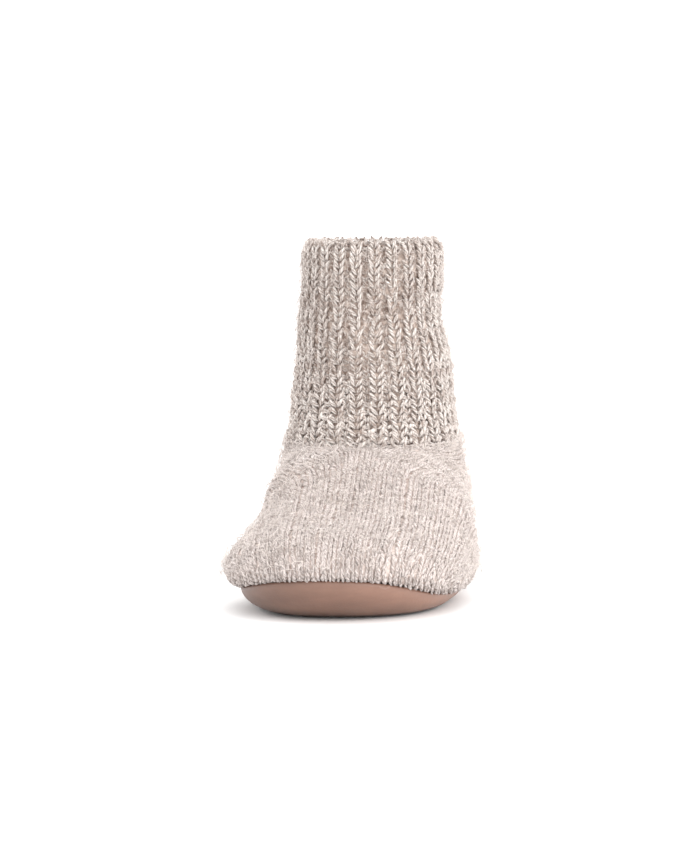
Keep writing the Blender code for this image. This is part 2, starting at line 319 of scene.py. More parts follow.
def leather_material():
    """Smooth hide with painted light and shade: paler towards the lit outer side, and a dark
    painted contact shadow where it meets the floor.
    """
    made, tree, shader = new_material("soft_brown_leather")
    place = object_place(tree)
    apart = add_node(tree, "ShaderNodeSeparateXYZ", {0: place}).outputs
    drawn = {0: place, 1: (1.0, 1.0, 5.0)}
    drawn = add_node(tree, "ShaderNodeVectorMath", drawn, operation="MULTIPLY").outputs[0]
    # Painted light: the hide grows paler towards +X, the outer side that the light falls on; the
    # noise added on top is the hide's own uneven tone.
    painted_light_and_tone = maths(tree, "MULTIPLY_ADD", apart["X"], 8.5, 0.05)
    painted_light_and_tone = maths(tree, "MULTIPLY_ADD", noise(tree, place, 28.0, 4.0), 0.30, painted_light_and_tone)
    painted_light_and_tone = maths(tree, "MULTIPLY_ADD", noise(tree, drawn, 60.0, 5.0), 0.50, painted_light_and_tone)
    tint = two_tones(tree, painted_light_and_tone, (0.10, HIDE_DEEP), (0.90, HIDE_PALE))
    # Painted contact shadow: the hide darkens towards near black in its lowest two millimetres.
    out_of_contact_shade = ranged(tree, apart["Z"], *CONTACT_SHADE_HEIGHTS)
    grain = add_node(tree, "ShaderNodeTexVoronoi", {"Vector": place, "Scale": 900.0})
    crease = noise(tree, place, 140.0, 6.0)
    height = maths(tree, "MULTIPLY_ADD", grain.outputs["Distance"], 0.35, crease)
    looks = {
        "Base Color": blend(tree, out_of_contact_shade, colour(HIDE_IN_CONTACT_SHADE), tint),
        "Normal": bump(tree, height, 0.3, 0.0005),
        "Roughness": 0.45,
        "Specular IOR Level": 0.45,
    }
    wire(tree, shader, looks)
    return made


leather = leather_material()
sole = mesh_piece("leather_sole", *sole_skin(), leather)
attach(sole, "root")
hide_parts("outsole")


# The insole. A thin pad of pressed wool felt that lies loose on the leather inside the foot.
# Only its heel end shows, deep down in the leg.

FELT_DARK = (168, 156, 146)
FELT_LIGHT = (214, 204, 194)


def felt_material():
    made, tree, shader = new_material("pressed_wool_felt")
    fibre = noise(tree, object_place(tree), 700.0, 8.0)
    looks = {
        "Base Color": two_tones(tree, fibre, (0.35, FELT_DARK), (0.65, FELT_LIGHT)),
        "Normal": bump(tree, fibre, 0.6, 0.0006),
        "Roughness": 0.95,
    }
    wire(tree, shader, looks)
    return made


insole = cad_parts["insole"]
insole.data.materials.clear()
insole.data.materials.append(felt_material())


# The knitted foot. Plain stocking stitch in a thick heathered wool, one wall from the sole's rim
# over the foot to the ankle. Its columns of stitches run along the foot and bend round the ankle.

HEM_INSET = 0.0030
HEM_GAP = 0.0003
KNIT_WALL = 0.0028
BELLY = 0.0090
BELLY_HEIGHT = 0.0075
THROAT_HEIGHT = 0.0613
ANKLE_WIDTH = 0.0770
ANKLE_BACK_STATION = 0.060
LEG_SQUARENESS = 2.4

FootRow = namedtuple("FootRow", "hem top height belly lift inner_dome outer_dome upright")
FOOT_ROWS = (
    FootRow(1.00, 0.860, 0.595, 0.85, 0.90, 2.00, 2.00, 0.00),
    FootRow(0.90, 0.830, 0.625, 0.95, 0.95, 1.95, 2.10, 0.00),
    FootRow(0.80, 0.765, 0.690, 1.08, 1.00, 1.75, 2.35, 0.00),
    FootRow(0.70, 0.685, 0.800, 1.10, 1.15, 1.80, 2.60, 0.00),
    FootRow(0.60, 0.595, 0.910, 1.06, 1.60, 2.30, 2.65, 0.00),
    FootRow(0.50, 0.500, 1.000, 1.10, 2.10, 3.00, 2.70, 0.00),
    FootRow(0.40, 0.400, 1.000, 1.20, 2.50, 3.00, 2.70, 0.45),
    FootRow(0.27, 0.270, 1.010, 1.25, 2.90, 2.60, 2.45, 0.60),
    FootRow(0.10, 0.100, 1.040, 1.10, 2.80, 2.30, 2.30, 0.66),
    FootRow(0.00, 0.000, 1.050, 0.75, 2.20, 2.20, 2.20, 0.66),
)
ShaftRow = namedtuple("ShaftRow", "height front back half_width centre")
SHAFT_ROWS = (
    ShaftRow(0.00, THROAT_STATION, ANKLE_BACK_STATION, 0.500, 0.013),
    ShaftRow(0.20, 0.487, 0.070, 0.464, 0.010),
    ShaftRow(0.40, 0.478, 0.080, 0.446, 0.004),
    ShaftRow(0.60, 0.470, 0.090, 0.412, 0.000),
    ShaftRow(0.80, 0.464, 0.097, 0.404, -0.003),
    ShaftRow(1.00, 0.460, 0.103, 0.400, -0.005),
)
BELLY_STEPS = 7
FLANK_STEPS = 34
GROUND_DEPTH = 0.0009
HEM_SAG = 0.0013  # how far the fold above the hem hangs down on to the leather
HEM_SAG_STRIPS = 8
UPRIGHT_FROM = 0.7  # share of the throat's station from which a row may stand up of itself
MOST_UPRIGHT = 0.9
FOOT_BACKS_IN_SHADE = ((204, 190, 183), (163, 147, 139))  # light and dark wool on the loops' backs, painted darker than the yarn as the shade between the stitches
DARK_FLEECE = (1.26, 1.70)  # mask values between which a strand turns from light to dark

# Soft hollows (negative) and swellings of the empty knit: side, station, height, size and depth.
Slack = namedtuple("Slack", "x station height reach depth")
FOOT_SLACK = (
    Slack(-0.034, 0.50, 0.047, 0.012, 0.0012),
    Slack(-0.040, 0.62, 0.030, 0.014, -0.0010),
    Slack(0.000, 0.72, 0.048, 0.018, -0.0008),
    Slack(0.036, 0.45, 0.040, 0.014, 0.0010),
    Slack(0.030, 0.80, 0.030, 0.014, 0.0008),
)


def shaft_oval(share):
    """Front and back stations, half width and centre of the leg at this share of its height."""
    columns = ("front", "back", "half_width", "centre")
    oval = [table_value(SHAFT_ROWS, "height", column, share) for column in columns]
    return oval[0], oval[1], oval[2] * ANKLE_WIDTH, oval[3] * ANKLE_WIDTH


def leg_oval(oval, angle):
    """A point on the leg's oval from above; angle 0 is the front and grows towards +X."""
    front, back, half_width, centre = oval
    middle = (station_y(front) + station_y(back)) / 2
    half_depth = (station_y(back) - station_y(front)) / 2
    power = 2 / LEG_SQUARENESS
    c, s = math.cos(angle), math.sin(angle)
    x = centre + half_width * math.copysign(abs(s) ** power, s)
    return np.array((x, middle - half_depth * math.copysign(abs(c) ** power, c), 0.0))


def foot_value(column, station):
    return table_value(FOOT_ROWS, "hem", column, station)


def foot_top(station, side):
    """Where a foot row ends: on the vamp's ridge, or on the ankle's oval behind the throat."""
    height = THROAT_HEIGHT * foot_value("height", station)
    ankle = shaft_oval(0.0)
    if station >= THROAT_STATION:
        top = foot_value("top", station)
        x = across_sole("centre", top)
        x += ankle[3] * (1 - top) / (1 - THROAT_STATION)
        return np.array((x, station_y(top), height))
    angle = math.acos(max(-1.0, min(1.0, 1 - 2 * (1 - station / THROAT_STATION))))
    spot = leg_oval(ankle, side * angle)
    spot[2] = height
    return spot


def foot_row(station, side, point, outward):
    """Points of the foot's outer face from its hem to its top, at one place on the sole."""
    top = foot_top(station, side)
    hem = point - outward * HEM_INSET
    low = edge_height(station, side) + HEM_GAP
    belly = BELLY * foot_value("belly", station)
    inner = foot_value("inner_dome", station)
    outer = foot_value("outer_dome", station)
    power = 2 / (inner + (outer - inner) * (1 + side * end_rounding(station)) / 2)
    flank = 0.0
    if station < THROAT_STATION:
        half = across_sole("half_width", station)
        own = abs(top[0]) / (half + belly) if station > THROAT_STATION * UPRIGHT_FROM else 0.0
        flank = min(MOST_UPRIGHT, max(own, foot_value("upright", station)))
    last_turn = math.acos(flank ** (1 / power))
    lift = BELLY_HEIGHT * foot_value("lift", station)
    foot = np.array((hem[0], hem[1], 0.0)) + outward * belly
    across = np.array((top[0], top[1], 0.0)) - foot
    rise = top[2] - low - lift
    row = []
    for i in range(BELLY_STEPS):
        turn = math.pi / 2 * i / BELLY_STEPS
        spot = foot - outward * belly * (1 - math.sin(turn))
        spot[2] = low + lift * (1 - math.cos(turn))
        row.append(spot)
    for i in range(FLANK_STEPS + 1):
        turn = last_turn * i / FLANK_STEPS
        out = (1 - max(0.0, math.cos(turn)) ** power) / (1 - flank)
        spot = foot + across * out
        spot[2] = low + lift + rise * (math.sin(turn) / math.sin(last_turn)) ** power
        row.append(spot)
    return row


def unit(vectors):
    return vectors / np.maximum(np.linalg.norm(vectors, axis=-1, keepdims=True), 1e-12)


def foot_sheet():
    """The foot's outer face as a grid, hem to top by round the sole, with its outward normals."""
    loop = sole_loop(SOLE_TOE_STEPS, SOLE_VAMP_STEPS, SOLE_HEEL_STEPS)
    grid = np.array([foot_row(*spot) for spot in loop])
    for _ in range(2):
        around = (np.roll(grid, 1, axis=0) + np.roll(grid, -1, axis=0)) / 2
        grid[:, 1:-1] += 0.5 * (around - grid)[:, 1:-1]
    for k in range(HEM_SAG_STRIPS):
        grid[:, k, 2] -= HEM_SAG * math.sin(math.pi * k / HEM_SAG_STRIPS)
    normals = sheet_normals(grid)
    for dent in FOOT_SLACK:
        centre = np.array((dent.x, station_y(dent.station), dent.height))
        far = np.linalg.norm(grid - centre, axis=2) / dent.reach
        grid += normals * (dent.depth * np.exp(-0.5 * far**2))[..., None]
    return grid, sheet_normals(grid)


def sheet_normals(grid):
    along = np.roll(grid, -1, axis=0) - np.roll(grid, 1, axis=0)
    up = np.gradient(grid, axis=1)
    normals = np.cross(along, up)
    weak = np.linalg.norm(normals, axis=2) < 1e-12
    normals = unit(normals)
    normals[weak] = (0.0, 0.0, 1.0)
    return normals


def wall_faces(n, columns):
    """Faces of a closed wall: outer grid, then inner grid, each n rings round by columns up."""
    faces = []
    inner = n * columns
    for i in range(n):
        j = (i + 1) % n
        for c in range(columns - 1):
            a, b = i * columns + c, j * columns + c
            faces.append((a, a + 1, b + 1, b))
            faces.append((inner + a, inner + b, inner + b + 1, inner + a + 1))
        a, b = i * columns, j * columns
        faces.append((a, b, inner + b, inner + a))
        last = columns - 1
        faces.append((b + last, a + last, inner + a + last, inner + b + last))
    return faces


def node_group(name, kind, inputs, outputs):
    """An empty node group with its sockets, its input node's outputs and its output node."""
    group = bpy.data.node_groups.new(name, kind)
    for way, sockets in (("INPUT", inputs), ("OUTPUT", outputs)):
        for label, socket in sockets.items():
            group.interface.new_socket(label, in_out=way, socket_type="NodeSocket" + socket)
    return group, group.nodes.new("NodeGroupInput").outputs, group.nodes.new("NodeGroupOutput")


def wool_group():
    """Colour and relief of heathered wool from a place along and round a strand, with painted shade
    in the grooves between the plies and where the strand lies deep in its stitch.
    """
    inputs = {"Along": "Float", "Around": "Vector", "Tone": "Float", "Depth": "Float"}
    inputs.update({"Light": "Color", "Dark": "Color", "Pit": "Color"})
    outputs = {"Color": "Color", "Relief": "Float"}
    tree, given, out = node_group("ragg_wool", "ShaderNodeTree", inputs, outputs)
    along = given["Along"]
    around = add_node(tree, "ShaderNodeSeparateXYZ", {0: given["Around"]}).outputs
    turn = maths(tree, "ARCTAN2", around["Y"], around["X"])
    wind = maths(tree, "MULTIPLY_ADD", turn, 1.5, maths(tree, "MULTIPLY", along, 5.2))
    ply = maths(tree, "ABSOLUTE", maths(tree, "SINE", wind))
    # Painted shade: the colour is darkened in the groove between the two plies, where shade falls
    # between them.
    groove_shade = maths(tree, "POWER", maths(tree, "SUBTRACT", 1.0, ply), 2.0)
    wound = maths(tree, "MULTIPLY_ADD", along, 2.6, turn)
    shift = maths(tree, "MULTIPLY", given["Tone"], 57.0)
    strand = {
        0: maths(tree, "MULTIPLY_ADD", along, 1.7, shift),
        1: maths(tree, "MULTIPLY_ADD", maths(tree, "COSINE", wound), 0.8, shift),
        2: maths(tree, "MULTIPLY", maths(tree, "SINE", wound), 0.8),
    }
    strand = add_node(tree, "ShaderNodeCombineXYZ", strand).outputs[0]
    place = object_place(tree)
    fibre = noise(tree, strand, 3.4, 5.0, 0.7)
    heather = noise(tree, place, 190.0, 2.0)
    fleck = noise(tree, place, 1100.0, 2.0, 0.6)
    mask = maths(tree, "MULTIPLY", groove_shade, 0.50)
    for texture, weight in ((given["Tone"], 0.30), (heather, 0.70), (fleck, 0.90), (fibre, 0.80)):
        mask = maths(tree, "MULTIPLY_ADD", texture, weight, mask)
    fleece = blend(tree, ranged(tree, mask, *DARK_FLEECE), given["Light"], given["Dark"])
    relief = maths(tree, "MULTIPLY_ADD", ply, 0.9, maths(tree, "MULTIPLY", fibre, 2.2))
    looks = {
        # Painted shade: the colour goes over to the third, darker colour where the strand lies deep
        # in the stitch.
        "Color": blend(tree, given["Depth"], fleece, given["Pit"]),
        "Relief": maths(tree, "MULTIPLY_ADD", fleck, 0.8, relief),
    }
    wire(tree, out, looks)
    return tree


ragg_wool = wool_group()


def yarn_material(name, light, dark, pit, relief):
    """Wool yarn: soft twisted strands, pale with streaks of darker fleece, painted shade where the
    strands sink into the stitch and between the plies, and no shine.
    """
    made, tree, shader = new_material(name)
    inputs = {"Light": colour(light), "Dark": colour(dark), "Pit": colour(pit)}
    for label in ("along", "around", "tone", "depth"):
        reading = add_node(tree, "ShaderNodeAttribute", attribute_name=label)
        inputs[label.capitalize()] = reading.outputs["Vector" if label == "around" else "Fac"]
    wool = add_node(tree, "ShaderNodeGroup", inputs, node_tree=ragg_wool).outputs
    looks = {
        "Base Color": wool["Color"],
        "Normal": bump(tree, wool["Relief"], 1.0, relief),
        "Roughness": 0.95,
        "Specular IOR Level": 0.12,
        "Sheen Weight": 0.30,
        "Sheen Roughness": 0.6,
    }
    wire(tree, shader, looks)
    return made


def ground_material(name, light, dark):
    """The backs of the loops, seen between the stitches and inside the sock, coloured darker than
    the yarn as painted shade.
    """
    made, tree, shader = new_material(name)
    place = object_place(tree)
    loops = add_node(tree, "ShaderNodeTexVoronoi", {"Vector": place, "Scale": 330.0})
    fleece = noise(tree, place, 420.0, 6.0)
    looks = {
        "Base Color": two_tones(tree, fleece, (0.38, dark), (0.62, light)),
        "Normal": bump(tree, loops.outputs["Distance"], 0.9, 0.0012, invert=True),
        "Roughness": 1.0,
        "Specular IOR Level": 0.1,
    }
    wire(tree, shader, looks)
    return made


foot_grid, foot_normals = foot_sheet()
FOOT_RINGS, FOOT_COLUMNS = foot_grid.shape[:2]
foot_ground = ground_material("foot_loop_backs", *FOOT_BACKS_IN_SHADE)
foot_wall = mesh_piece(
    "foot_knit_ground",
    np.concatenate(
        [
            (foot_grid - foot_normals * GROUND_DEPTH).reshape(-1, 3),
            (foot_grid - foot_normals * KNIT_WALL).reshape(-1, 3),
        ]
    ),
    wall_faces(FOOT_RINGS, FOOT_COLUMNS),
    foot_ground,
)
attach(foot_wall, "root")
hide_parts("upper")


# The foot's stitches. Each is a loop of thick yarn that shows as a V with its point to the toe,
# because the sock is worked from the leg down; rows are 2.8 mm and columns 4.3 mm apart.

FOOT_COLUMN = 0.0043
FOOT_COURSE = 0.0028
FOOT_YARN = 0.0017
FOOT_SINK = 0.0005
THROAT_BAND = (0.0050, 0.0120)  # width of the columns that end at the throat, outer and inner
TURN_SLOPE = 0.60  # how steeply the bend of the columns drops away from the throat
THROAT_TURN = 0.0190  # how far to the side the others still run level with the seam
TURN_REACH = (0.022, 0.042)  # distances below the seam over which that turn fades
TOE_LEAN = 0.12  # how strongly the columns draw in past the ball
TOE_LEAN_STATIONS = (0.72, 0.98)
CROWDED = 0.58  # a column ends where its neighbour is nearer than this share of a column
SPARSE = 0.74  # and another starts where more than this is free
OFF_FACE = 0.22  # a column also ends where a step leaves the face by this share of a course
MOST_COURSES = 90
FIRST_LEVEL = 0.7  # columns from the seam to the middle of the first one beside the welt
WELT_LIFT = 0.4  # how much of its upward lean the column along the seam keeps
BEHIND_THROAT = 14  # rings behind the throat that are still searched for free room
TONE_ROWS = 200
NEAR_COLUMNS = 1.6  # how many columns away a neighbour may be to set a stitch's width
LEAST_GAUGE = 0.6
MOST_GAUGE = (1.25, 1.2)  # widest and longest stitch, where 1 is a regular one
JITTER_TURN = 1.2
JITTER_ASIDE = 0.0016
JITTER_OUT = 0.0014
JITTER_GAUGE = 0.6
STREAK = 0.13
SPECKLE = 0.14
V_LOW = -0.50  # courses from a V's middle to its point, its bow and its open end
V_MIDDLE = 0.08
V_HIGH = 0.74
V_BOW = 0.55
V_STAND = 0.42  # how far the bow stands up, in yarn widths
FOOT_WOOL = ((221, 209, 204), (161, 147, 140), (187, 174, 167))  # light, dark, and the painted shade for the parts deep down in a stitch

Stitches = namedtuple("Stitches", "places faces rises gauges tones")


def sheet_tree(grid):
    """A search tree over a grid that closes on itself, and its faces by number."""
    rings, columns = grid.shape[:2]
    faces = []
    for i in range(rings):
        low, high = i * columns, (i + 1) % rings * columns
        for c in range(columns - 1):
            faces.append((low + c, low + c + 1, high + c + 1, high + c))
    return BVHTree.FromPolygons([tuple(p) for p in grid.reshape(-1, 3)], faces), faces


foot_tree, foot_faces = sheet_tree(foot_grid)
foot_points_flat = foot_grid.reshape(-1, 3)
foot_normals_flat = foot_normals.reshape(-1, 3)


def on_foot(spot):
    """The nearest place on the foot's face, its smooth normal, and how many strips up it is."""
    found, _, face, _ = foot_tree.find_nearest(Vector(spot))
    found = np.array(found)
    corners = list(foot_faces[face])
    near = 1 / (np.linalg.norm(foot_points_flat[corners] - found, axis=1) ** 2 + 1e-9)
    normal = (foot_normals_flat[corners] * near[:, None]).sum(axis=0)
    return found, normal / np.linalg.norm(normal), face % (FOOT_COLUMNS - 1)


def run_along(points):
    """How far each of a line of points is from the first one, along the line."""
    steps = np.linalg.norm(np.diff(points, axis=0), axis=1)
    return np.concatenate([[0.0], np.cumsum(steps)])


def at_run(goals, run, values):
    """Values by run along a line, read at one or more other runs."""
    return np.stack([np.interp(goals, run, values[:, k]) for k in range(3)], axis=-1)


def grid_row(ring):
    """The foot row at a fractional ring number, from top to hem, with its run from the top."""
    low = int(math.floor(ring)) % FOOT_RINGS
    high = (low + 1) % FOOT_RINGS
    share = ring - math.floor(ring)
    points = (foot_grid[low] * (1 - share) + foot_grid[high] * share)[::-1]
    normals = unit(foot_normals[low] * (1 - share) + foot_normals[high] * share)[::-1]
    return points, normals, run_along(points)


def along_row(row, distance):
    points, normals, run = row
    normal = at_run(distance, run, normals)
    return at_run(distance, run, points), normal / np.linalg.norm(normal)


def seam_points():
    """Points close together on the foot's top edge, which is the seam to the leg."""
    edge = foot_grid[THROAT_RING : FOOT_RINGS - THROAT_RING + 1, -1]
    found = KDTree(5 * len(edge))
    for i in range(5 * (len(edge) - 1)):
        start = edge[i // 5]
        found.insert(Vector(start + (edge[i // 5 + 1] - start) * (i % 5 / 5)), i)
    found.balance()
    return found


THROAT_RING = SOLE_TOE_STEPS + SOLE_VAMP_STEPS
foot_seam = seam_points()
FOOT_MIDDLE = shaft_oval(0.0)[3]


def toeward(place, normal):
    """Which way a column runs here: level round the ankle, down the vamp, drawing in at the toe."""
    slope = math.hypot(normal[1], normal[2])
    heading = np.cross((1.0, 0.0, 0.0), (0.0, normal[1], normal[2] + 1 - slope))
    heading = unit(heading - normal * heading.dot(normal))
    aside = place[0] - FOOT_MIDDLE
    away = place + (0.0, -1e-4, -1e-4) - np.array(foot_seam.find(Vector(place))[0])
    below = np.linalg.norm(away)
    turn = min(5.0, (abs(aside) / (below * TURN_SLOPE + THROAT_BAND[int(aside < 0)])) ** 3)
    turn *= share_of(below, TURN_REACH[1], TURN_REACH[0])
    heading = unit(heading + np.cross(away / below, normal) * math.copysign(turn, aside))
    station = HEEL_CENTRE - place[1] / SOLE_LENGTH
    past = share_of(station, *TOE_LEAN_STATIONS)
    centre = across_sole("centre", station)
    half = across_sole("half_width", station)
    heading[0] -= TOE_LEAN * past * past * (3 - 2 * past) * (place[0] - centre) / half
    heading -= normal * heading.dot(normal)
    return heading / np.linalg.norm(heading)


def next_spot(spot, way):
    """The place and normal one course on along a column, or nothing past the foot's edge."""
    place, normal = spot
    for _ in range(2):
        ahead = place + toeward(place, normal) * (way * FOOT_COURSE / 2)
        place, normal, strip = on_foot(ahead)
        if np.linalg.norm(place - ahead) > FOOT_COURSE * OFF_FACE or strip == 0:
            return None
    return place, normal


def free_room(place, taken):
    """Distance to the nearest of the places taken."""
    return np.sqrt(((taken - place) ** 2).sum(axis=1).min()) if len(taken) else 1.0


def grow_column(spot, way, taken):
    """Follows a column from a spot until it leaves the vamp or meets another column."""
    found = []
    while len(found) < MOST_COURSES:
        spot = next_spot(spot, way)
        if spot is None or free_room(spot[0], taken) < CROWDED * FOOT_COLUMN:
            break
        found.append(spot)
    return found


def heel_rows(side):
    """Foot rows a course apart from the throat back to the middle of the heel."""
    start = THROAT_RING if side > 0 else FOOT_RINGS - THROAT_RING
    back = FOOT_RINGS // 2
    rings = np.arange(start, back + side, side)
    run = run_along(foot_grid[rings, FOOT_COLUMNS // 2])
    courses = round(run[-1] / FOOT_COURSE)
    goals = [run[-1] * k / courses for k in range(courses + (side > 0))]
    return [grid_row(np.interp(goal, run, rings)) for goal in goals]


def welt(rows):
    """The one column that lies along the seam to the leg, from the throat to the heel."""
    tops = np.array([row[0][0] for row in rows])
    normals = np.array([row[1][0] for row in rows])
    run = run_along(tops)
    goals = np.arange(FOOT_COURSE / 2, run[-1], FOOT_COURSE)
    faces = at_run(goals, run, normals) * (1.0, 1.0, WELT_LIFT)
    return list(zip(at_run(goals, run, tops), unit(faces)))


def foot_columns():
    """Every column of the foot: places and normals by course, growing towards the toe."""
    columns = []
    taken = np.zeros((0, 3))

    def keep(column):
        nonlocal taken
        columns.append(column)
        taken = np.concatenate([taken, np.array([spot[0] for spot in column.values()])])

    def keep_both_ways(first, lone=True):
        ahead, behind = grow_column(first, 1, taken), grow_column(first, -1, taken)
        if lone or ahead or behind:
            keep(dict(enumerate(behind[::-1] + [first] + ahead)))

    for side in (1, -1):
        rows = heel_rows(side)
        for k in range(round(THROAT_BAND[side < 0] / FOOT_COLUMN)):
            keep_both_ways(along_row(rows[0], (k + 0.5) * FOOT_COLUMN))
        keep(dict(enumerate(welt(rows)[::-1])))
        turn = [abs(row[0][0][0] - FOOT_MIDDLE) > THROAT_TURN for row in rows].index(True)
        for k in range(int(rows[turn][2][-1] / FOOT_COLUMN + 0.5)):
            down = (k + FIRST_LEVEL) * FOOT_COLUMN
            column = {
                -r: along_row(row, down)
                for r, row in enumerate(rows)
                if r >= turn and down <= row[2][-1]
            }
            if -turn in column:
                ahead = grow_column(column[-turn], 1, taken)
                column.update({r + 1 - turn: spot for r, spot in enumerate(ahead)})
            if column:
                keep(column)
    for strip in range(1, FOOT_COLUMNS - 1):
        for ring in range(-THROAT_RING - BEHIND_THROAT, THROAT_RING + BEHIND_THROAT):
            place = foot_grid[ring, strip]
            if free_room(place, taken) >= SPARSE * FOOT_COLUMN:
                keep_both_ways((place, foot_normals[ring, strip]), lone=False)
    return columns


def streaks(rows, columns, seed, run=3):
    """How dark each stitch is, 0 to 1, in streaks that follow the yarn along its row."""
    random = np.random.default_rng(seed)
    raw = random.normal(0, 1, (rows, columns + 2 * run))
    soft = sum(raw[:, k : k + columns] * (run + 1 - abs(k - run)) for k in range(2 * run + 1))
    soft = soft / soft.std() * STREAK + random.normal(0, SPECKLE, (rows, columns))
    return np.clip(0.5 + soft, 0.0, 1.0)


def foot_stitches():
    """All stitches of the foot with the width that their neighbours leave them."""
    columns = foot_columns()
    spots = [(k, course) for k, column in enumerate(columns) for course in sorted(column)]
    near = KDTree(len(spots))
    for i, (k, course) in enumerate(spots):
        near.insert(Vector(columns[k][course][0]), i)
    near.balance()
    tones = streaks(TONE_ROWS, len(columns), 5)
    stitches = []
    for k, course in spots:
        column = columns[k]
        place, normal = column[course]
        ahead = column.get(course + 1, column[course])[0]
        behind = column.get(course - 1, column[course])[0]
        long = np.linalg.norm(behind - ahead)
        if long < 1e-6:
            continue
        steps = (course + 1 in column) + (course - 1 in column)
        rise = (behind - ahead) / long
        across = np.cross(rise, normal)
        widths = [[], []]
        for other, _, _ in near.find_range(Vector(place), FOOT_COLUMN * NEAR_COLUMNS):
            offset = np.array(other) - place
            side = offset.dot(across)
            if abs(side) > FOOT_COLUMN * 0.4 and abs(offset.dot(rise)) < FOOT_COURSE * 0.6:
                widths[int(side > 0)].append(abs(side))
        sides = [min(found) for found in widths if found]
        wide = np.mean(sides) / FOOT_COLUMN if sides else 1.0
        wide = min(MOST_GAUGE[0], max(LEAST_GAUGE, wide))
        high = min(MOST_GAUGE[1], max(LEAST_GAUGE, long / steps / FOOT_COURSE))
        tone = tones[course % TONE_ROWS, k]
        stitches.append((place - normal * FOOT_SINK, normal, rise, (wide, high, 1.0), tone))
    return stitches


def point_cloud(name, stitches, seed, jitter):
    """A mesh of loose points, one for each stitch, that carries how the stitch lies."""
    random = np.random.default_rng(seed)
    n = len(stitches)
    lying = Stitches(*(np.array(column, dtype=float) for column in zip(*stitches)))
    across = unit(np.cross(lying.rises, lying.faces))
    rises = unit(lying.rises + across * random.normal(0, jitter * JITTER_TURN, (n, 1)))
    faces = unit(lying.faces + across * random.normal(0, jitter, (n, 1)))
    places = lying.places + across * random.normal(0, jitter * JITTER_ASIDE, (n, 1))
    places = places + faces * random.normal(0, jitter * JITTER_OUT, (n, 1))
    gauges = lying.gauges * (1 + random.normal(0, jitter * JITTER_GAUGE, (n, 3)))
    mesh = bpy.data.meshes.new(name)
    mesh.from_pydata([tuple(p) for p in places], [], [])
    for label, values in (("face", faces), ("rise", rises), ("gauge", gauges)):
        held = mesh.attributes.new(label, "FLOAT_VECTOR", "POINT")
        held.data.foreach_set("vector", np.ascontiguousarray(values, dtype=np.float32).ravel())
    held = mesh.attributes.new("tone", "FLOAT", "POINT")
    held.data.foreach_set("value", lying.tones.astype(np.float32))
    piece = bpy.data.objects.new(name, mesh)
    bpy.context.scene.collection.objects.link(piece)
    return piece


